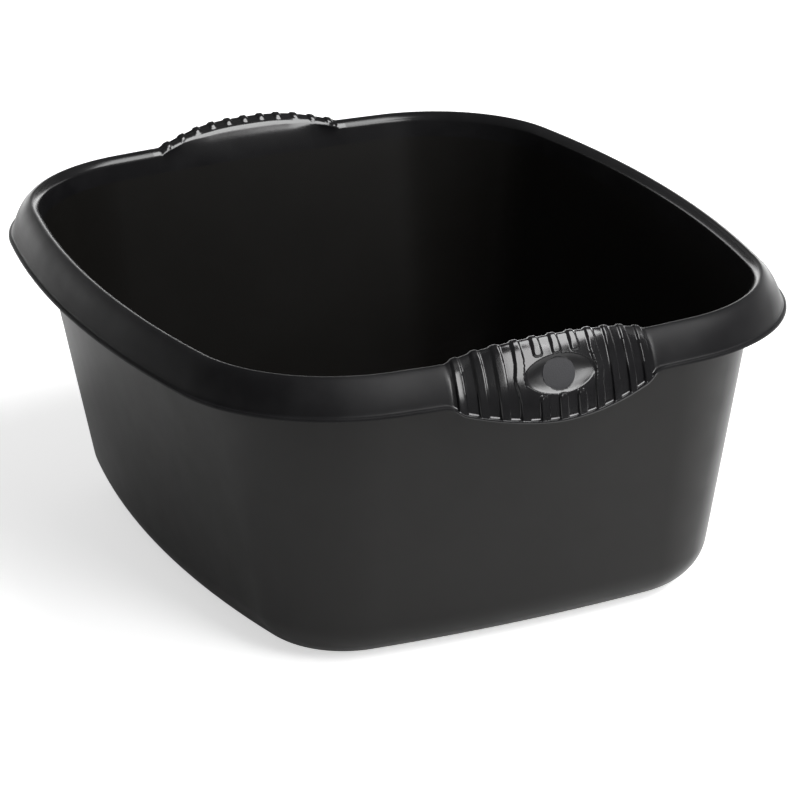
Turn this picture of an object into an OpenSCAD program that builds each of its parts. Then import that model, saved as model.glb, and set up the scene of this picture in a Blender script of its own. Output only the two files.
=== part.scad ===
// Rectangular washing up bowl with two moulded grips.
// X runs across the bowl, Y along it through both grips, Z up from the table.
// A section is drawn in two lengths: u, outwards from the mouth's edge, and z, up.
// It is then swept round the plan, which is eight arcs that meet without a kink.

/* [Bowl] */
// Inner width of the mouth, across the two long sides
mouth_w = 295; // [280:1:310]
// Inner length of the mouth, between the two short sides
mouth_l = 346; // [330:1:360]
// Height of the plain rim's top above the table
bowl_h = 155.5; // [140:0.5:170]
// Angle through which each half of a long side bows
side_angle = 10.6; // [9:0.05:11.5]
// Angle through which each half of a short side bows
end_angle = 5.4; // [4.5:0.05:6]
// Radius of the mouth's corners, seen from above
corner_r = 70.5; // [64:0.5:74]
// Lean of the walls, in degrees from upright
draft = 10; // [8:0.1:12]
// Thickness of the walls, the rim and the grips
wall_t = 1.8; // [1.5:0.1:2.2]
// Thickness of the base
floor_t = 2; // [1.6:0.1:2.6]
// Outer radius where the walls turn into the base
base_fillet = 24; // [22:1:30]

/* [Rim] */
// Height of the band at the top of the wall that belongs to the rim
band_h = 12; // [11:0.5:15]
// Height over which the rim's inner edge is rounded
edge_h = 3.5; // [3:0.1:4.5]
// Distance from the mouth's edge out to the top of the rim
edge_w = 4.3; // [3.8:0.1:5.5]
// Distance from the mouth's edge out to the foot of the skirt
skirt_w = 14.1; // [12:0.1:15.5]
// Depth from the top of the rim down to the foot of the skirt
skirt_h = 16; // [14:0.5:18]
// Lean of the skirt at its foot, in degrees from upright
skirt_lean = 13.7; // [10:0.1:18]
// Width of the lip that stands out at the skirt's foot
lip_w = 1.7; // [1.6:0.1:2.4]
// Thickness of that lip
lip_t = 1.2; // [0.8:0.1:1.8]

/* [Grips] */
// Half the length of a grip along the rim
grip_half = 54; // [52:1:58]
// Half the length over which a grip's top rises
crown_half = 49; // [46:1:52]
// Rise of a grip's top above the plain rim
crown_rise = 7.7; // [5:0.1:9]
// Distance that a grip's top moves outwards
crown_shift = 4.9; // [3:0.1:6]
// Distance that a grip's foot moves outwards
foot_bulge = 7.7; // [6:0.1:9.5]
// Depth that a grip's foot drops below the plain skirt's
foot_drop = 11.6; // [8:0.1:13]
// Length over which the foot turns down at each end of a grip
foot_turn = 10; // [6:0.5:14]
// Lean of a grip's face at its foot, in degrees from upright
grip_lean = 1; // [0:0.5:6]

/* [Grip ribs] */
// Distance from one finger rib to the next
rib_pitch = 9.07; // [8.5:0.01:9.4]
// Ribs on each side of the middle one
rib_side_count = 5; // [4:1:5]
// Width of a rib where it meets the grip
rib_base = 4.9; // [4:0.1:5.5]
// Width of a rib's flat top
rib_top = 3.2; // [2.6:0.1:3.8]
// Height of a rib at the top of the grip
rib_h_crown = 0.8; // [0.6:0.1:1.5]
// Height of a rib at the foot of the grip, just less than the lip
rib_h_foot = 1.45; // [1:0.05:1.55]

/* [Eye and roundel] */
// Half the length of the eye-shaped dish in each grip
eye_half_l = 17.3; // [16:0.1:19]
// Half the height of that dish
eye_half_h = 8.9; // [8.6:0.1:10]
// Depth of the dish in its middle
eye_depth = 2.4; // [1.6:0.1:2.8]
// Gap that the short ribs leave round the dish
eye_margin = 0.6; // [0.3:0.1:1.5]
// Place of the dish down the grip's face, as a share from the top to the foot
eye_place = 0.615; // [0.57:0.005:0.66]
// Diameter of the bare roundel that sits in the dish
roundel_d = 16; // [12:0.5:17]
// Depth of the roundel's face below the face of the grip
roundel_sink = 1.9; // [1.6:0.1:2.1]
// Depth of the roundel's seat below the bottom of the dish
seat_depth = 0.5; // [0.3:0.05:0.7]

/* [Foot] */
// Height of the foot ring under the base
foot_h = 1.8; // [1.4:0.1:2.4]
// Width of the foot ring's flat
foot_w = 6; // [4:0.5:9]
// Width of the arched relief in the ring under each grip
relief_w = 52; // [40:1:70]
// Height of that relief
relief_h = 1.5; // [0.8:0.1:1.6]

/* [Hidden] */
$fn = 360;
shell_colour = "#3a3a3c";
grip_colour = "#48484b";
roundel_colour = "#2f2f31";
// Steps of the curves in a section
fillet_step = 6;
edge_steps = 4;
flare_steps = 4;
skirt_steps = 20;
underside_steps = 12;
// Steps of the foot's outer curve that lie on the base fillet
foot_steps = 3;
// Pull of the skirt's curve at the rim's top and at its foot, plain and in mid-grip
crown_pull = 3.5;
grip_crown_pull = 3.5;
foot_pull = 11;
grip_foot_pull = 19.6;
// Shape of the swelling along a grip, and of its foot
swell_flat = 2.2;
swell_blend = 1.2;
foot_flat = 1.7;
foot_reach = 1.106;
overlap = 1;

// Plan: the bow of each side has its centre on an axis, and each corner runs into both bows
half_w = mouth_w / 2;
half_l = mouth_l / 2;
side_gap = 1 - cos(side_angle);
end_gap = 1 - cos(end_angle);
width_left = half_w + corner_r * (sin(end_angle) - cos(side_angle));
length_left = half_l + corner_r * (sin(side_angle) - cos(end_angle));
turn = side_gap * end_gap - sin(side_angle) * sin(end_angle);
side_bow_r = (width_left * end_gap - length_left * sin(end_angle)) / turn;
end_bow_r = (length_left * side_gap - width_left * sin(side_angle)) / turn;
side_c = side_bow_r - half_w;
end_c = end_bow_r - half_l;
corner_x = (end_bow_r - corner_r) * sin(end_angle);
corner_y = (side_bow_r - corner_r) * sin(side_angle);
grip_angle = degrees_along(grip_half);

function degrees_along(s) = s / end_bow_r * 180 / PI;
function mix(a, b, share) = a + (b - a) * share;
function side_of(v) = [v.y, -v.x] / norm(v);
function curve3(p, t) =
    pow(1 - t, 2) * p[0] + 2 * (1 - t) * t * p[1] + t * t * p[2];
function curve4(p, t) =
    (1 - t) * curve3([p[0], p[1], p[2]], t) + t * curve3([p[1], p[2], p[3]], t);
function slope4(p, t) = curve3([p[1] - p[0], p[2] - p[1], p[3] - p[2]], t);
function slope3(p, t) = mix(p[1] - p[0], p[2] - p[1], t);

// Wall: its inner face starts at the mouth's edge and leans in as it goes down
mouth_z = bowl_h - edge_h;
band_z = bowl_h - band_h;
wall_across = wall_t / cos(draft);
function inner_u(z) = (z - mouth_z) * tan(draft);
fillet_in = base_fillet - wall_t;
fillet_z = foot_h + base_fillet;
fillet_u = inner_u(fillet_z) + wall_across - base_fillet / cos(draft);
fillet_in_z = foot_h + floor_t + fillet_in;
fillet_in_u = inner_u(fillet_in_z) - fillet_in / cos(draft);
panel_u = min(fillet_u, fillet_in_u) - 2;
fillet_angles = [for (a = [-90 : fillet_step : -draft - fillet_step / 2]) a, -draft];
function fillet_point(a) = [fillet_u + base_fillet * cos(a), fillet_z + base_fillet * sin(a)];

// Grip: the swelling is full in the middle of the grip and nothing at its ends
function swelling(s, half) =
    abs(s) >= half ? 0 : pow(1 - pow(abs(s) / half, swell_flat), swell_blend);

function ease(t) = let (x = min(1, max(0, t))) x * x * (3 - 2 * x);
function drop(s) =
    foot_drop * ease((grip_half - abs(s)) / foot_turn) * (1 - pow(abs(s) / (foot_reach * grip_half), foot_flat));

// Control points of the inner edge, and of the skirt, at a distance s from the grip's middle
function rise(s) = crown_rise * swelling(s, crown_half);
function mouth_point(s) =
    [crown_shift * swelling(s, grip_half), bowl_h - edge_h + rise(s)];
function flare_curve(s) =
    let (low = [inner_u(band_z), band_z], top = mouth_point(s), half = (top.y - low.y) / 2)
    [low, low + half * [tan(draft), 1], top];
function edge_curve(s) =
    let (top = mouth_point(s), lean = slope3(flare_curve(s), 1))
    [top, top + edge_h * [lean.x / lean.y, 1], top + [edge_w, edge_h]];
function skirt_curve(s) =
    let (full = swelling(s, grip_half),
         crown = mouth_point(s) + [edge_w, edge_h],
         foot = [skirt_w + foot_bulge * full, bowl_h - skirt_h - drop(s)],
         lean = mix(skirt_lean, grip_lean, full),
         pull = mix(foot_pull, grip_foot_pull, full))
    [crown, crown + [mix(crown_pull, grip_crown_pull, full), 0],
     foot + pull * [-sin(lean), cos(lean)], foot];

// Eye: its middle, the way down its face and the way out of it
eye_at = curve4(skirt_curve(0), eye_place);
eye_down = slope4(skirt_curve(0), eye_place) / norm(slope4(skirt_curve(0), eye_place));
eye_out = -side_of(eye_down);
function down_face(p) = (p - eye_at) * eye_down;
function dish(s, p) =
    eye_depth * max(0, 1 - pow(s / eye_half_l, 2) - pow(down_face(p) / eye_half_h, 2));

// Ribs: the three in the middle stop short of the eye
rib_places = [for (i = [-rib_side_count : rib_side_count]) i * rib_pitch];
function on_rib(s) =
    max([for (at = rib_places) min(1, max(0, (rib_base / 2 - abs(s - at)) / (rib_base - rib_top) * 2))]);
function clear_of_eye(s, p) =
    abs(s) > eye_half_l - rib_pitch / 4 || abs(down_face(p)) > eye_half_h + eye_margin ? 1 : 0;
function relief(s, p, t) =
    mix(rib_h_crown, rib_h_foot, t) * on_rib(s) * clear_of_eye(s, p) - dish(s, p);

function upper_face(s, ribbed) =
    let (flare = flare_curve(s), edge = edge_curve(s), skirt = skirt_curve(s))
    [for (k = [0 : flare_steps - 1]) curve3(flare, k / flare_steps),
     for (k = [0 : edge_steps - 1]) curve3(edge, k / edge_steps),
     for (k = [0 : skirt_steps])
         let (t = k / skirt_steps, p = curve4(skirt, t))
         p - side_of(slope4(skirt, t)) * (ribbed ? relief(s, p, t) : 0)];
function under_face(s, ribbed) =
    let (flare = flare_curve(s), edge = edge_curve(s), skirt = skirt_curve(s))
    [for (k = [underside_steps : -1 : 0])
         let (t = k / underside_steps, p = curve4(skirt, t))
         p + side_of(slope4(skirt, t)) * (wall_t + (ribbed ? dish(s, p) : 0)),
     for (k = [edge_steps - 1 : -1 : 0])
         let (t = k / edge_steps) curve3(edge, t) + side_of(slope3(edge, t)) * wall_t,
     for (k = [flare_steps - 1 : -1 : 1])
         let (t = k / flare_steps) curve3(flare, t) + side_of(slope3(flare, t)) * wall_t,
     flare[0] + [wall_across, 0]];
function section(s, ribbed = false) =
    let (foot = skirt_curve(s)[3], under = under_face(s, ribbed))
    concat(upper_face(s, ribbed),
           [foot + [lip_w, 0], foot + [lip_w, -lip_t], [under[0].x, foot.y - lip_t]],
           under);

// Moves in two steps, a round one and a very small one, so that no digit is lost
module shift(v) {
    most = [for (c = v) round(c * 100) / 100];
    translate(most) translate(v - most) children();
}

// Sweeps the section that follows round one arc of the plan
module sweep_arc(centre, radius, from, to) {
    shift([centre.x, centre.y, 0])
        rotate_extrude(start = from, angle = to - from)
            shift([radius, 0])
                children();
}

module long_side() {
    sweep_arc([-side_c, 0], side_bow_r, -side_angle, side_angle) children();
}

module corner() {
    sweep_arc([corner_x, corner_y], corner_r, side_angle, 90 - end_angle) children();
}

// The stretch of a short side from one angle to another, counted from its middle
module short_side(from, to) {
    sweep_arc([0, -end_c], end_bow_r, 90 - to, 90 - from) children();
}

module both_ways(axis) {
    children();
    mirror(axis) children();
}

// The whole way round the plan
module around() {
    both_ways([1, 0, 0]) {
        long_side() children();
        both_ways([0, 1, 0]) corner() children();
    }
    both_ways([0, 1, 0]) short_side(-end_angle, end_angle) children();
}

module wall_section() {
    polygon(concat(
        [[inner_u(band_z), band_z], [inner_u(band_z) + wall_across, band_z]],
        [for (k = [len(fillet_angles) - 1 : -1 : 0]) fillet_point(fillet_angles[k])],
        [[panel_u, foot_h], [panel_u, foot_h + floor_t]],
        [for (a = fillet_angles) [fillet_in_u + fillet_in * cos(a), fillet_in_z + fillet_in * sin(a)]]));
}

module tub_wall() {
    color(shell_colour) around() wall_section();
}

// The base inside the fillet: a rim of it follows the plan, and the bows' circles bound the rest
module base_panel() {
    color(shell_colour) {
        around() translate([-corner_r, foot_h]) square([corner_r + panel_u, floor_t]);
        translate([0, 0, foot_h])
            linear_extrude(floor_t)
                intersection() {
                    translate([-side_c, 0]) circle(side_bow_r - corner_r + overlap);
                    translate([side_c, 0]) circle(side_bow_r - corner_r + overlap);
                    translate([0, -end_c]) circle(end_bow_r - corner_r + overlap);
                    translate([0, end_c]) circle(end_bow_r - corner_r + overlap);
                }
    }
}

module foot_section() {
    outer = fillet_point(-90 + foot_steps * fillet_step);
    drop = outer.y;
    flat_u = outer.x - sqrt(pow(base_fillet, 2) - pow(base_fillet - drop, 2));
    top_angle = acos((base_fillet - drop) / base_fillet);
    polygon(concat(
        [[flat_u - foot_w, foot_h], [fillet_u, foot_h]],
        [for (k = [1 : foot_steps]) fillet_point(-90 + k * fillet_step)],
        [for (k = [foot_steps - 1 : -1 : 0])
            let (a = top_angle * k / foot_steps)
            [flat_u + base_fillet * sin(a), base_fillet * (1 - cos(a))]],
        [[flat_u - foot_w, 0]]));
}

module foot_ring() {
    relief_r = (pow(relief_w / 2, 2) + pow(relief_h, 2)) / (2 * relief_h);
    color(shell_colour)
        difference() {
            around() foot_section();
            translate([0, 0, relief_h - relief_r])
                rotate([90, 0, 0])
                    cylinder(r = relief_r, h = 2 * mouth_l, center = true);
        }
}

// One long side of the rim with its two corners, as far as the grips
module rim_half() {
    profile = section(grip_half);
    color(shell_colour) {
        long_side() polygon(profile);
        both_ways([0, 1, 0]) {
            corner() polygon(profile);
            short_side(grip_angle, end_angle) polygon(profile);
        }
    }
}

module right_rim() {
    rim_half();
}

module left_rim() {
    mirror([1, 0, 0]) rim_half();
}

// Stations along the grip: each rib's four edges, and a few where the swelling ends
last_edge = rib_side_count * rib_pitch + rib_base / 2;
spare = grip_half - last_edge;
grip_stations = concat(
    [for (k = [0 : 4]) -grip_half + spare * k / 5],
    [for (at = rib_places) each [at - rib_base / 2, at - rib_top / 2, at + rib_top / 2, at + rib_base / 2]],
    [for (k = [4 : -1 : 0]) grip_half - spare * k / 5]);

// Puts a point of a section at a distance s along the short side
function on_short_side(s, p) =
    let (a = degrees_along(s), r = end_bow_r + p.x) [r * sin(a), r * cos(a) - end_c, p.y];

// End of the grip: a fan over the lip, then a strip from the face's points to the underside's
upper_count = flare_steps + edge_steps + skirt_steps + 1;
function opposite(k) =
    let (bend = flare_steps + edge_steps) min(k, bend) + round(max(0, k - bend) * underside_steps / skirt_steps);
function end_faces(n) =
    [for (k = [upper_count : upper_count + 2]) [upper_count - 1, k, k + 1],
     for (k = [0 : upper_count - 2])
         let (under = n - 1 - opposite(k), next = n - 1 - opposite(k + 1))
         each next < under ? [[k, k + 1, next], [k, next, under]] : [[k, k + 1, next]]];

module grip_body() {
    rings = [for (s = grip_stations) [for (p = section(s, true)) on_short_side(s, p)]];
    n = len(rings[0]);
    last = len(rings) - 1;
    polyhedron(
        points = [for (ring = rings) each ring],
        faces = concat(
            [for (f = end_faces(n)) [f[2], f[1], f[0]]],
            [for (r = [0 : last - 1], k = [0 : n - 1])
                let (a = r * n + k, b = r * n + (k + 1) % n)
                each [[a, b, b + n], [a, b + n, a + n]]],
            [for (f = end_faces(n)) f + last * n * [1, 1, 1]]));
}

// Stands a child on the grip's face, at the middle of the eye and facing out of it
module on_eye(height) {
    place = on_short_side(0, eye_at + eye_out * height);
    translate(place)
        rotate([-atan2(eye_out.x, eye_out.y), 0, 0])
            children();
}

seat_height = -eye_depth - seat_depth;

module grip() {
    color(grip_colour)
        difference() {
            grip_body();
            on_eye(seat_height) cylinder(d = roundel_d, h = seat_depth + eye_depth + overlap);
        }
}

module roundel() {
    color(roundel_colour)
        on_eye(seat_height) cylinder(d = roundel_d, h = -roundel_sink - seat_height);
}

module rear_grip() {
    grip();
}

module front_grip() {
    rotate([0, 0, 180]) grip();
}

module rear_roundel() {
    roundel();
}

module front_roundel() {
    rotate([0, 0, 180]) roundel();
}

tub_wall();
base_panel();
foot_ring();
left_rim();
right_rim();
front_grip();
rear_grip();
front_roundel();
rear_roundel();
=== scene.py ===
import math

import bpy
import numpy as np
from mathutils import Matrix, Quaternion, Vector


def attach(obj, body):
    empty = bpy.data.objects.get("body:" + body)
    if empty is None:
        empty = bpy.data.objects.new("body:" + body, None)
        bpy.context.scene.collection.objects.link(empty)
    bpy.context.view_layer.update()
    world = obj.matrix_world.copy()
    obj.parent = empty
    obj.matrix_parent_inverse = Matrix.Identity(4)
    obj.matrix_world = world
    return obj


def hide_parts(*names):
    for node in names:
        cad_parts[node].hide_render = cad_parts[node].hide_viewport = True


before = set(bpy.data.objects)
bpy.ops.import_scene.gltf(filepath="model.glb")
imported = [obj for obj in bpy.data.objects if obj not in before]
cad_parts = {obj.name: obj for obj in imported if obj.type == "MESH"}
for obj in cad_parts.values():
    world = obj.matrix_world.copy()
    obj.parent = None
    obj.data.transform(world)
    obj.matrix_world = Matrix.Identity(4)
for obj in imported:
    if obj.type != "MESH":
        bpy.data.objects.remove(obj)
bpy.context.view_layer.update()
mm = 0.001

# Walls of the tub: four leaning walls of injection-moulded polypropylene, 1.8 mm thick, which bow
# outwards and turn into the base through a large fillet. The section is drawn as u, outwards from
# the mouth's edge, and z, up, and then spun about the arc centres of the plan.
half_w = 147.5 * mm
half_l = 173 * mm
corner_r = 70.5 * mm
side_angle = math.radians(10.6)
end_angle = math.radians(5.4)
bowl_h = 155.5 * mm
draft = math.radians(10)
wall_t = 1.8 * mm
floor_t = 2 * mm
foot_h = 1.8 * mm
base_fillet = 24 * mm
edge_h = 3.5 * mm
band_z = bowl_h - 12 * mm
mouth_z = bowl_h - edge_h
side_steps = 10
corner_steps = 40
end_steps = 8

plan = np.array([
    [1 - math.cos(side_angle), math.sin(end_angle)],
    [math.sin(side_angle), 1 - math.cos(end_angle)],
])
reach = np.array([
    half_w + corner_r * (math.sin(end_angle) - math.cos(side_angle)),
    half_l + corner_r * (math.sin(side_angle) - math.cos(end_angle)),
])
side_r, end_r = np.linalg.solve(plan, reach)
side_centre = Vector((half_w - side_r, 0, 0))
end_centre = Vector((0, half_l - end_r, 0))
corner_x = (end_r - corner_r) * math.sin(end_angle)
corner_y = (side_r - corner_r) * math.sin(side_angle)
corner_centre = Vector((corner_x, corner_y, 0))
corner_angle = math.pi / 2 - side_angle - end_angle


def wall_u(z):
    return (z - mouth_z) * math.tan(draft)


def arc(centre, radius, start, end, steps):
    turn = np.linspace(start, end, steps + 1)
    return np.c_[centre[0] + radius * np.cos(turn), centre[1] + radius * np.sin(turn)]


def name_piece(name):
    piece = bpy.context.object
    piece.name = piece.data.name = name
    return piece


def section_loop(name, section):
    """A closed loop of edges in the X-Z plane: the section at the middle of the long side."""
    bpy.ops.object.select_all(action="DESELECT")
    bpy.ops.mesh.primitive_circle_add(vertices=len(section), radius=1)
    piece = name_piece(name)
    places = np.c_[half_w + section[:, 0], np.zeros(len(section)), section[:, 1]]
    piece.data.vertices.foreach_set("co", places.ravel())
    return piece


def spin_plan(end_turn, fine=1):
    """Spins the selected loop round the long side, the corner and the short side of one quarter."""
    bpy.ops.object.mode_set(mode="EDIT")
    bpy.ops.mesh.select_all(action="SELECT")
    turns = (
        (side_centre, side_angle, side_steps),
        (corner_centre, corner_angle, corner_steps),
        (end_centre, end_turn, end_steps),
    )
    for centre, angle, steps in turns:
        bpy.ops.mesh.spin(steps=steps * fine, angle=angle, center=centre, axis=(0, 0, -1))
    bpy.ops.object.mode_set(mode="OBJECT")


def mirrored(piece, across_x):
    """Mirrors the quarter to a half, or to the whole, and closes the seams."""
    mirror = piece.modifiers.new("other_side", "MIRROR")
    mirror.use_axis = (across_x, True, False)
    mirror.use_clip = True
    mirror.merge_threshold = 1e-6
    bpy.ops.object.modifier_apply(modifier=mirror.name)
    bpy.ops.object.mode_set(mode="EDIT")
    bpy.ops.mesh.select_all(action="SELECT")
    bpy.ops.mesh.remove_doubles(threshold=1e-6)
    bpy.ops.mesh.normals_make_consistent(inside=False)
    bpy.ops.object.mode_set(mode="OBJECT")


def smooth(piece, angle):
    bpy.ops.object.select_all(action="DESELECT")
    piece.select_set(True)
    bpy.context.view_layer.objects.active = piece
    bpy.ops.object.shade_smooth_by_angle(angle=math.radians(angle))


wall_across = wall_t / math.cos(draft)
fillet_z = foot_h + base_fillet
fillet_u = wall_u(fillet_z) + wall_across - base_fillet / math.cos(draft)
inner_fillet = base_fillet - wall_t
inner_z = foot_h + floor_t + inner_fillet
inner_u = wall_u(inner_z) - inner_fillet / math.cos(draft)
panel_u = min(fillet_u, inner_u) - 2 * mm
wall_heights = np.linspace(band_z, fillet_z, 13)[:-1]
wall_section = np.vstack([
    np.c_[wall_u(wall_heights) + wall_across, wall_heights],
    arc((fillet_u, fillet_z), base_fillet, -draft, -math.pi / 2, 24),
    [[panel_u, foot_h], [panel_u, foot_h + floor_t]],
    arc((inner_u, inner_z), inner_fillet, -math.pi / 2, -draft, 24),
    np.c_[wall_u(wall_heights), wall_heights][::-1],
])
walls = section_loop("walls", wall_section)
spin_plan(end_angle)
mirrored(walls, True)
smooth(walls, 30)


dust = (0.2, 0.2, 0.205, 1)
grain_depth = 0.1 * mm
heart = (0, 0, 80 * mm)
glancing = 0.62
edge_rough = 0.24
edge_sheen = 0.6
dish_rough = 0.3


def moulded(name, colour, rough, sheen, scuffs, gloss, shine, grain=0.3, face=None):
    """Polypropylene with the mould's fine grain, faint clouding from handling and a few specks.

    Faces that look towards the bowl's heart, and a grip's face, are polished. The others are satin,
    and shine more where they are seen at a glancing angle.
    """
    material = bpy.data.materials.new(name)
    material.use_nodes = True
    nodes, links = material.node_tree.nodes, material.node_tree.links
    shader = nodes["Principled BSDF"]
    shader.inputs["IOR"].default_value = 1.49
    place = nodes.new("ShaderNodeTexCoord")

    def feed(value, socket):
        if isinstance(value, bpy.types.NodeSocket):
            links.new(value, socket)
        else:
            socket.default_value = value

    def noise(scale, detail, rough=0.5):
        node = nodes.new("ShaderNodeTexNoise")
        node.inputs["Scale"].default_value = scale
        node.inputs["Detail"].default_value = detail
        node.inputs["Roughness"].default_value = rough
        links.new(place.outputs["Object"], node.inputs["Vector"])
        return node.outputs["Fac"]

    def span(value, low, high, to_low, to_high):
        node = nodes.new("ShaderNodeMapRange")
        for key, number in (("From Min", low), ("From Max", high), ("To Min", to_low), ("To Max", to_high)):
            node.inputs[key].default_value = number
        links.new(value, node.inputs["Value"])
        return node.outputs["Result"]

    def maths(operation, *values):
        node = nodes.new("ShaderNodeMath")
        node.operation = operation
        for value, socket in zip(values, node.inputs):
            feed(value, socket)
        return node.outputs["Value"]

    def vector_maths(operation, *values):
        node = nodes.new("ShaderNodeVectorMath")
        node.operation = operation
        for value, socket in zip(values, node.inputs):
            feed(value, socket)
        return node.outputs["Value" if operation in ("DOT_PRODUCT", "LENGTH") else "Vector"]

    def blend(share, start, end):
        node = nodes.new("ShaderNodeMix")
        for value, socket in zip((share, start, end), (node.inputs[0], *node.inputs[2:4])):
            feed(value, socket)
        return node.outputs[0]

    cloud = span(noise(28, 4, 0.6), 0.4, 0.75, 0, scuffs)
    speck = span(noise(900, 2), 0.72, 0.76, 0, scuffs * 0.6)
    tint = nodes.new("ShaderNodeMix")
    tint.data_type = "RGBA"
    tint.inputs[6].default_value = (*colour, 1)
    tint.inputs[7].default_value = dust
    links.new(maths("ADD", cloud, speck), tint.inputs[0])
    links.new(tint.outputs[2], shader.inputs["Base Color"])
    satin = maths("ADD", span(noise(60, 3), 0.3, 0.7, rough - 0.03, rough + 0.03), cloud)
    graze = span(nodes.new("ShaderNodeLayerWeight").outputs["Facing"], glancing, 1, 0, 1)
    bump = nodes.new("ShaderNodeBump")
    bump.inputs["Distance"].default_value = grain_depth
    links.new(noise(1800, 2), bump.inputs["Height"])
    links.new(bump.outputs["Normal"], shader.inputs["Normal"])
    outward = vector_maths("NORMALIZE", vector_maths("SUBTRACT", place.outputs["Object"], heart))
    share = span(vector_maths("DOT_PRODUCT", place.outputs["Normal"], outward), 0.1, -0.2, 0, 1)
    if face:
        axes = nodes.new("ShaderNodeSeparateXYZ")
        links.new(place.outputs["Object"], axes.inputs[0])
        along, across = (maths("ABSOLUTE", axis) for axis in axes.outputs[:2])
        grip = maths("MULTIPLY", span(along, *face["along"]), span(across, *face["across"]))
        share = maths("MAXIMUM", share, grip)
        height, half = face["dish"]
        from_dish = vector_maths("SUBTRACT", place.outputs["Object"], (0, 0, height))
        in_dish = vector_maths("LENGTH", vector_maths("MULTIPLY", from_dish, (1 / half[0], 0, 1 / half[1])))
        gloss = blend(maths("MULTIPLY", span(in_dish, 1, 0.9, 0, 1), grip), gloss, dish_rough)
    links.new(blend(share, blend(graze, satin, edge_rough), gloss), shader.inputs["Roughness"])
    links.new(blend(share, grain, 0.05), bump.inputs["Strength"])
    links.new(blend(share, blend(graze, sheen, edge_sheen), shine), shader.inputs["Specular IOR Level"])
    return material


satin_shell = moulded("satin_polypropylene", (0.0043, 0.004, 0.0036), 0.44, 0.25, 0.004, 0.25, 0.3)
walls.data.materials.append(satin_shell)
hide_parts("tub_wall")
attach(walls, "root")

# Base: the flat bottom inside the walls' fillet, moulded in one with them and 2 mm thick. Its edge
# follows the bowl's plan, so it is filled inside that outline and pushed up to its thickness.
def plan_outline(u):
    """Points of the plan at a distance u outside the mouth's edge, all the way round."""
    quarter = np.vstack([
        arc(side_centre[:2], side_r + u, 0, side_angle, side_steps),
        arc(corner_centre[:2], corner_r + u, side_angle, math.pi / 2 - end_angle, corner_steps)[1:],
        arc(end_centre[:2], end_r + u, math.pi / 2 - end_angle, math.pi / 2, end_steps)[1:],
    ])
    half = np.vstack([quarter, quarter[-2::-1] * [-1, 1]])
    return np.vstack([half, half[-2:0:-1] * [1, -1]])


outline = plan_outline(panel_u)
bpy.ops.object.select_all(action="DESELECT")
bpy.ops.mesh.primitive_circle_add(vertices=len(outline), radius=1, fill_type="NGON")
base = name_piece("base")
base.data.vertices.foreach_set("co", np.c_[outline, np.full(len(outline), foot_h)].ravel())
bpy.ops.object.mode_set(mode="EDIT")
bpy.ops.mesh.select_all(action="SELECT")
bpy.ops.mesh.extrude_region_move(TRANSFORM_OT_translate={"value": (0, 0, floor_t)})
bpy.ops.mesh.select_all(action="SELECT")
bpy.ops.mesh.normals_make_consistent(inside=False)
bpy.ops.object.mode_set(mode="OBJECT")
smooth(base, 30)
base.data.materials.append(satin_shell)
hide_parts("base_panel")
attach(base, "root")

# Foot: the low ring under the base that the bowl stands on, moulded in one with it. Its outer face
# rolls into the fillet, and an arched relief lifts it off the table under each grip.
foot_w = 6 * mm
relief_w = 52 * mm
relief_h = 1.5 * mm
foot_joint = math.radians(72)
foot_top = fillet_z - base_fillet * math.sin(foot_joint)
foot_top_u = fillet_u + base_fillet * math.cos(foot_joint)
foot_turn = math.acos((base_fillet - foot_top) / base_fillet)
foot_flat_u = foot_top_u - base_fillet * math.sin(foot_turn)
foot_section = np.vstack([
    [[foot_flat_u - foot_w, foot_h], [fillet_u, foot_h]],
    arc((fillet_u, fillet_z), base_fillet, -math.pi / 2, -foot_joint, 6)[1:],
    arc((foot_flat_u, base_fillet), base_fillet, -math.pi / 2, foot_turn - math.pi / 2, 8)[::-1][1:],
    [[foot_flat_u - foot_w, 0]],
])
foot = section_loop("foot", foot_section)
spin_plan(end_angle, 2)
mirrored(foot, True)
places = np.empty(len(foot.data.vertices) * 3)
foot.data.vertices.foreach_get("co", places)
places = places.reshape(-1, 3)
relief_r = ((relief_w / 2) ** 2 + relief_h**2) / (2 * relief_h)
arch = np.sqrt(np.maximum(relief_r**2 - places[:, 0] ** 2, 0)) - relief_r + relief_h
near_end = np.abs(places[:, 0]) < relief_w / 2
lifted = np.maximum(places[:, 2], np.where(near_end, arch, 0))
places[:, 2] = np.where(np.abs(places[:, 1]) > corner_centre[1], lifted, places[:, 2])
foot.data.vertices.foreach_set("co", places.ravel())
smooth(foot, 30)
foot.data.materials.append(satin_shell)
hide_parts("foot_ring")
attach(foot, "root")

# Rim: each side's rolled-over edge, with its corners, as far as the grips. A rounded inner edge, a
# narrow crown, a slanted skirt and a thin lip are one open channel, moulded with the walls.
edge_w = 4.3 * mm
skirt_w = 14.05 * mm
skirt_h = 16 * mm
skirt_lean = math.radians(13.7)
lip_w = 1.7 * mm
lip_t = 1.2 * mm
lip_fillet = 1.1 * mm
lip_corner = 0.2 * mm
flare_from = 0.9
edge_pull = 0.45
crest_pull = 0.6 * edge_pull
crown_fall = math.radians(16)
fillet_rows = np.array([1, 0.7, 0.45, 0.25, 0.1, 0])
crown_pull = 2.8 * mm
foot_pull = 11 * mm
grip_half = 54 * mm
grip_angle = grip_half / end_r


def bezier(points, t):
    """Places and slopes at t on a curve of three or four control points."""
    p = [np.asarray(q, float) for q in points]
    t = np.asarray(t)[:, None]
    n = len(p) - 1
    place = sum(math.comb(n, k) * (1 - t) ** (n - k) * t**k * p[k] for k in range(n + 1))
    slope = sum(math.comb(n - 1, k) * (1 - t) ** (n - 1 - k) * t**k * (p[k + 1] - p[k]) * n for k in range(n))
    return place, slope


def left_of(slope):
    return np.c_[-slope[:, 1], slope[:, 0]] / np.linalg.norm(slope, axis=1)[:, None]


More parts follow.
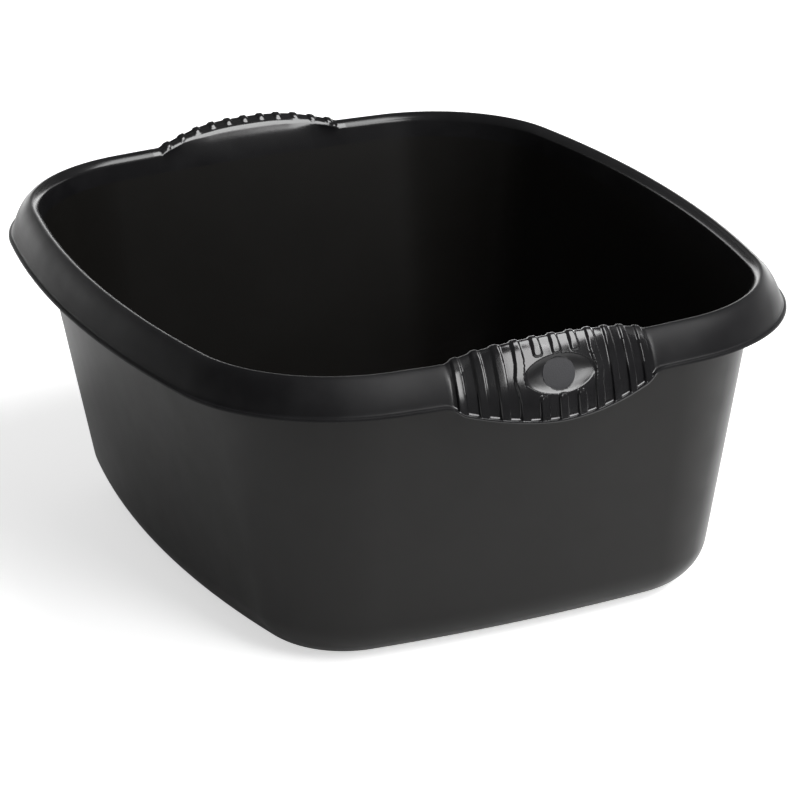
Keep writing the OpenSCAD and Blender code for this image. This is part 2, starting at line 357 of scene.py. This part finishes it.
def curves(mouth, foot, lean, crown, pull, round_w=edge_w, round_h=edge_h):
    """Control points of the inner band, the rounded edge and the skirt."""
    low = np.array([wall_u(band_z), band_z])
    straight = (mouth[1] - band_z) * np.array([math.tan(draft), 1])
    band = [low, low + flare_from / 2 * straight, low + flare_from * straight, mouth]
    top = mouth + [round_w, round_h]
    steep = (mouth - band[2]) / (mouth[1] - band[2][1])
    fall = np.array([math.cos(crown_fall), -math.sin(crown_fall)])
    edge = [mouth, mouth + edge_pull * round_h * steep, top - crest_pull * round_w * fall, top]
    skirt = [top, top + crown * fall, foot + pull * np.array([-math.sin(lean), math.cos(lean)]), foot]
    return band, edge, skirt


def channel(parts, band_steps, edge_steps, skirt_steps, under_step=1, relief=None):
    """The closed section: band, edge and skirt outside, the lip, and back along the inside."""
    band, edge, skirt = parts
    rows = [
        bezier(band, np.linspace(0, 1, band_steps + 1)[:-1]),
        bezier(edge, np.linspace(0, 1, edge_steps + 1)[:-1]),
    ]
    foot = skirt[3]
    near = 1 - lip_fillet * fillet_rows / (3 * np.linalg.norm(foot - skirt[2]))
    rows.append(bezier(skirt, np.r_[np.linspace(0, near[0], skirt_steps)[:-1], near]))
    place = np.vstack([row[0] for row in rows])
    out = left_of(np.vstack([row[1] for row in rows]))
    proud, sunk = relief(place) if relief else (np.zeros(len(place)), np.zeros(len(place)))
    above = np.clip(place[:, 1] - foot[1], 0, lip_fillet)
    fillet = lip_fillet - np.sqrt(lip_fillet**2 - (lip_fillet - above) ** 2)
    face = place + out * (np.maximum(proud, fillet) - sunk)[:, None]
    under = (place - out * (wall_t + sunk)[:, None])[:: -under_step]
    tip = foot + [lip_w, 0]
    cut = 0.3 * lip_corner
    lip = [
        tip - [lip_corner, 0], tip - [cut, cut], tip - [0, lip_corner],
        tip - [0, lip_t - lip_corner], tip - [cut, lip_t - cut], tip - [lip_corner, lip_t],
        np.array([under[0][0], foot[1] - lip_t]),
    ]
    start = place[0] + [wall_across, 0]
    return np.vstack([face, lip, under[:-1], [start]])


plain_mouth = np.array([0, mouth_z])
plain_foot = np.array([skirt_w, bowl_h - skirt_h])
plain = curves(plain_mouth, plain_foot, skirt_lean, crown_pull, foot_pull)
rim_right = section_loop("rim_right", channel(plain, 6, 8, 28))
spin_plan(end_angle - grip_angle)
mirrored(rim_right, False)


def close_ends(piece):
    """Fills the open ends of a swept section, so that the piece is a closed solid."""
    bpy.ops.object.mode_set(mode="EDIT")
    bpy.ops.mesh.select_all(action="DESELECT")
    bpy.ops.mesh.select_mode(type="EDGE")
    bpy.ops.mesh.select_non_manifold(extend=False)
    bpy.ops.mesh.fill_holes(sides=0)
    bpy.ops.mesh.select_all(action="SELECT")
    bpy.ops.mesh.normals_make_consistent(inside=False)
    bpy.ops.object.mode_set(mode="OBJECT")


close_ends(rim_right)


def other_side(piece, name, turn):
    """A copy with its own mesh, turned half a turn about Z."""
    bpy.ops.object.select_all(action="DESELECT")
    piece.select_set(True)
    bpy.context.view_layer.objects.active = piece
    bpy.ops.object.duplicate()
    copy = name_piece(name)
    copy.rotation_euler.z = turn
    bpy.ops.object.transform_apply(location=True, rotation=True, scale=True)
    return copy


rim_left = other_side(rim_right, "rim_left", math.pi)
handled_rim = moulded("handled_polypropylene", (0.0036, 0.0035, 0.004), 0.5, 0.14, 0.03, 0.22, 0.35)
for rim, node in ((rim_right, "right_rim"), (rim_left, "left_rim")):
    smooth(rim, 30)
    rim.data.materials.append(handled_rim)
    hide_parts(node)
    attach(rim, "root")

# Grips: the ribbed hand grip in the middle of each short side. Its crown rises and moves out, its
# foot drops and bulges, and it carries raised finger ribs and an eye-shaped dish, all of one
# moulding with the rim but polished brighter in the mould.
crown_rise = 7.63 * mm
crown_shift = 3.5 * mm
edge_more = 1.4 * mm
edge_less = 1 * mm
foot_bulge = 7.7 * mm
bulge_half = 51 * mm
bulge_fullness = 2.2
crown_fullness = 2.6
drop_fullness = 1.7
swelling_fade = 1.2
shift_fade = 0.6
foot_drop = 11.6 * mm
drop_end = 10 * mm
foot_reach = 59.7 * mm
step_at = 50.3 * mm
step_w = 2.4 * mm
grip_lean = math.radians(1)
grip_crown_pull = 2.4 * mm
grip_foot_pull = 19.6 * mm
ribs_each_side = 5
eye_rib = 2
rib_pitch = 9.07 * mm
rib_half_base = 2.5 * mm
rib_half_top = 1.6 * mm
rib_narrow = 0.55
rib_widen = 20 * mm
rib_corner = 3
rib_start = 2.8 * mm
rib_run_out = 0.6
rib_h_crown = 0.8 * mm
rib_h_foot = 1.45 * mm
eye_half_l = 17.3 * mm
eye_half_h = 8.9 * mm
eye_depth = 2.4 * mm
eye_margin = 0.6 * mm
eye_place = 0.615
eye_corner = 1.75
dish_flat = 1.6
rib_swerve = 1.3 * mm
swerve_reach = 5 * mm
roundel_d = 16 * mm
roundel_sink = 1.9 * mm
seat_gap = 0.3 * mm
seat_edge = 0.4 * mm
seat_r = 0.49 * roundel_d
grip_stations = 361


def ease(x):
    x = np.clip(x, 0, 1)
    return x * x * (3 - 2 * x)


def swelling(s, fullness):
    """1 in the middle, and less along the grip as far as a small step just past the last rib."""
    curve = max(0, 1 - (abs(s) / bulge_half) ** fullness) ** swelling_fade
    return curve * float(ease((step_at - abs(s)) / step_w))


def grip_curves(s):
    """The section's curves at a distance s along the short side from the grip's middle."""
    full = swelling(s, bulge_fullness)
    hang = foot_drop * float(ease((grip_half - abs(s)) / drop_end))
    drop = hang * (1 - (abs(s) / foot_reach) ** drop_fullness)
    round_h = edge_h - edge_less * full
    out = full * float(ease((1 - abs(s) / grip_half) / shift_fade))
    mouth = np.array([crown_shift * out, bowl_h - round_h + crown_rise * swelling(s, crown_fullness)])
    foot = np.array([skirt_w + foot_bulge * full, bowl_h - skirt_h - drop])
    lean = skirt_lean + (grip_lean - skirt_lean) * full
    crown = crown_pull + (grip_crown_pull - crown_pull) * full
    pull = foot_pull + (grip_foot_pull - foot_pull) * full
    return curves(mouth, foot, lean, crown, pull, edge_w + edge_more * out, round_h)


eye_at, eye_down = (row[0] for row in bezier(grip_curves(0)[2], [eye_place]))
eye_down = eye_down / np.linalg.norm(eye_down)
eye_out = np.array([-eye_down[1], eye_down[0]])
band_rows, edge_rows, skirt_rows = 10, 12, 112
crest = band_rows + edge_rows


def grip_relief(s):
    """How far the ribs stand out of the section at s, and how far the eye's dish sinks into it."""
    def at(place):
        along = np.r_[0, np.cumsum(np.linalg.norm(np.diff(place, axis=0), axis=1))]
        down = along - along[crest]
        v = (place - eye_at) @ eye_down
        rib = np.zeros(len(place))
        flat = rib_half_top * np.clip(rib_narrow + down / rib_widen, rib_narrow, 1)
        for i in range(-ribs_each_side, ribs_each_side + 1):
            side = np.sign(i) * rib_swerve * np.exp(-((v / swerve_reach) ** 2)) if abs(i) == eye_rib else 0
            across = np.abs(s - i * rib_pitch - side)
            ends = [rib_half_top - rib_start - down]
            if abs(i) < eye_rib:
                stop = eye_half_h + eye_margin + rib_half_top
                ends.append(np.where(v < 0, v + stop, stop - v))
            past = np.maximum(np.max(ends, axis=0), 0)
            past = np.where(down < 0, rib_run_out * past, past)
            away = (across**rib_corner + past**rib_corner) ** (1 / rib_corner)
            rib = np.maximum(rib, ease((rib_half_base - away) / (rib_half_base - flat)))
        height = rib_h_crown + (rib_h_foot - rib_h_crown) * np.clip(down / down[-1], 0, 1)
        q = (s / eye_half_l) ** 2 + np.abs(v / eye_half_h) ** eye_corner
        dish = eye_depth * np.maximum(1 - q**dish_flat, 0)
        plane = roundel_sink + seat_gap + (place - eye_at) @ eye_out
        seat = plane * ease((seat_r - np.hypot(s, v)) / seat_edge)
        return height * rib, np.where(down > 0, np.maximum(dish, seat), 0)
    return at


stations = np.linspace(-grip_half, grip_half, grip_stations)
rings = np.array([
    channel(grip_curves(s), band_rows, edge_rows, skirt_rows, 4, grip_relief(s)) for s in stations
])
turns = (stations / end_r)[:, None]
radii = end_r + rings[:, :, 0]
rings = np.stack([radii * np.sin(turns), radii * np.cos(turns) + end_centre.y, rings[:, :, 1]], axis=2)

bpy.ops.object.select_all(action="DESELECT")
bpy.ops.mesh.primitive_grid_add(x_subdivisions=len(stations) - 1, y_subdivisions=rings.shape[1], size=2)
grip_rear = name_piece("grip_rear")
grid = np.empty(len(grip_rear.data.vertices) * 3)
grip_rear.data.vertices.foreach_get("co", grid)
grid = grid.reshape(-1, 3)
column = np.rint((grid[:, 0] + 1) / 2 * (len(stations) - 1)).astype(int)
row = np.rint((grid[:, 1] + 1) / 2 * rings.shape[1]).astype(int) % rings.shape[1]
grip_rear.data.vertices.foreach_set("co", rings[column, row].ravel())
bpy.ops.object.mode_set(mode="EDIT")
bpy.ops.mesh.select_all(action="SELECT")
bpy.ops.mesh.remove_doubles(threshold=1e-7)
bpy.ops.object.mode_set(mode="OBJECT")
close_ends(grip_rear)
grip_front = other_side(grip_rear, "grip_front", math.pi)
grip_face = {
    "along": (grip_half - 2 * mm, grip_half - 5 * mm, 0, 1),
    "across": (half_l + 5 * mm, half_l + 8 * mm, 0, 1),
    "dish": (eye_at[1], (eye_half_l, -eye_down[1] * eye_half_h)),
}
polished_grip = moulded(
    "polished_polypropylene", (0.0036, 0.0035, 0.004), 0.5, 0.14, 0.03, 0.16, 0.5, face=grip_face)
for grip, node in ((grip_rear, "rear_grip"), (grip_front, "front_grip")):
    smooth(grip, 40)
    grip.data.materials.append(polished_grip)
    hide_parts(node)
    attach(grip, "root")

# Roundels: the plain round face in each grip's dish, left bare. Its insert in the mould is
# spark-eroded, so it comes out matt and slightly pitted inside the polished grip.
bpy.ops.object.select_all(action="DESELECT")
tilt = math.atan2(eye_out[0], eye_out[1])
roundel_round = 0.25 * mm
base_depth = eye_depth + 0.5 * mm
thick = base_depth - roundel_sink
middle = eye_at - eye_out * (roundel_sink + thick / 2)
bpy.ops.mesh.primitive_cylinder_add(
    vertices=72, radius=roundel_d / 2, depth=thick, end_fill_type="NGON",
    location=(0, half_l + middle[0], middle[1]), rotation=(-tilt, 0, 0))
roundel_rear = name_piece("roundel_rear")
bpy.ops.object.mode_set(mode="EDIT")
bpy.ops.mesh.select_mode(type="FACE")
bpy.ops.mesh.select_all(action="DESELECT")
bpy.ops.object.mode_set(mode="OBJECT")
for face in roundel_rear.data.polygons:
    face.select = face.normal.z > 0.9
bpy.ops.object.mode_set(mode="EDIT")
bpy.ops.mesh.bevel(offset=roundel_round, segments=3, affect="EDGES")
bpy.ops.object.mode_set(mode="OBJECT")
bpy.ops.object.transform_apply(location=True, rotation=True, scale=True)
roundel_front = other_side(roundel_rear, "roundel_front", math.pi)
matt_roundel = moulded("spark_eroded_polypropylene", (0.025, 0.025, 0.027), 0.6, 0.2, 0.04, 0.6, 0.3, 0.9)
for roundel, node in ((roundel_rear, "rear_roundel"), (roundel_front, "front_roundel")):
    smooth(roundel, 30)
    roundel.data.materials.append(matt_roundel)
    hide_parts(node)
    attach(roundel, "root")

# Camera: a long lens a little above the rim, turned to see the near grip and the long side.
target = Vector((12.8, 15.7, 60.1)) * mm
distance = 2030.7 * mm
camera = bpy.data.objects.new("camera", bpy.data.cameras.new("camera"))
bpy.context.collection.objects.link(camera)
bpy.context.scene.camera = camera
camera.data.lens = 183.58
camera.data.sensor_width = 36
camera.data.clip_end = 20
azimuth, elevation, roll = (math.radians(a) for a in (-23.836, 21.52, -1.276))
level_back = Vector((math.sin(azimuth), -math.cos(azimuth), 0))
back = level_back * math.cos(elevation) + Vector((0, 0, math.sin(elevation)))
camera.location = target + back * distance
camera.rotation_euler = (back.to_track_quat("Z", "Y") @ Quaternion((0, 0, 1), roll)).to_euler()

# Studio: a white table in a white surround, a softbox in front, a larger one over the near right
# corner, and white panels behind and to the right. The camera sees the surround as plain white.
table_glow = 0.6
surround_level = 0.2
bpy.ops.mesh.primitive_plane_add(size=6, location=(0, 2.5, -0.2 * mm))
floor = name_piece("floor")
white = bpy.data.materials.new("white_table")
white.use_nodes = True
white.node_tree.nodes["Principled BSDF"].inputs["Base Color"].default_value = (0.9, 0.9, 0.9, 1)
white.node_tree.nodes["Principled BSDF"].inputs["Roughness"].default_value = 1
nodes, links = white.node_tree.nodes, white.node_tree.links
seen = nodes.new("ShaderNodeLightPath")
lift = nodes.new("ShaderNodeMath")
lift.operation = "MULTIPLY"
lift.inputs[1].default_value = table_glow
links.new(seen.outputs["Is Camera Ray"], lift.inputs[0])
links.new(lift.outputs[0], nodes["Principled BSDF"].inputs["Emission Strength"])
nodes["Principled BSDF"].inputs["Emission Color"].default_value = (1, 1, 1, 1)
floor.data.materials.append(white)

world = bpy.data.worlds.new("surround")
bpy.context.scene.world = world
world.use_nodes = True
nodes, links = world.node_tree.nodes, world.node_tree.links
seen = nodes.new("ShaderNodeLightPath")
level = nodes.new("ShaderNodeMix")
level.inputs[2].default_value = surround_level
level.inputs[3].default_value = 1
links.new(seen.outputs["Is Camera Ray"], level.inputs[0])
links.new(level.outputs[0], nodes["Background"].inputs["Strength"])
nodes["Background"].inputs["Color"].default_value = (1, 1, 1, 1)


lit_point = Vector((0, 0, 0.15))


def softbox(name, place, size, level):
    """A flat light of the given radiance that faces the bowl."""
    light = bpy.data.lights.new(name, "AREA")
    light.shape = "RECTANGLE"
    light.size, light.size_y = size
    light.energy = level * math.pi * size[0] * size[1]
    lamp = bpy.data.objects.new(name, light)
    bpy.context.collection.objects.link(lamp)
    lamp.location = place
    aim = Vector(place) - lit_point
    lamp.rotation_euler = aim.to_track_quat("Z", "Y").to_euler()


softbox("front_softbox", (0.26, -1.36, 0.9), (0.64, 0.76), 10)
softbox("overhead_softbox", (0.63, -0.66, 1.34), (0.88, 1), 11.5)
softbox("white_backdrop", (0.6, 2, 0.3), (4.4, 0.6), 3)
softbox("white_side", (2, 0.9, 0.3), (2.2, 0.6), 1.8)

bpy.context.scene.view_settings.view_transform = "Standard"
bpy.ops.object.select_all(action="DESELECT")
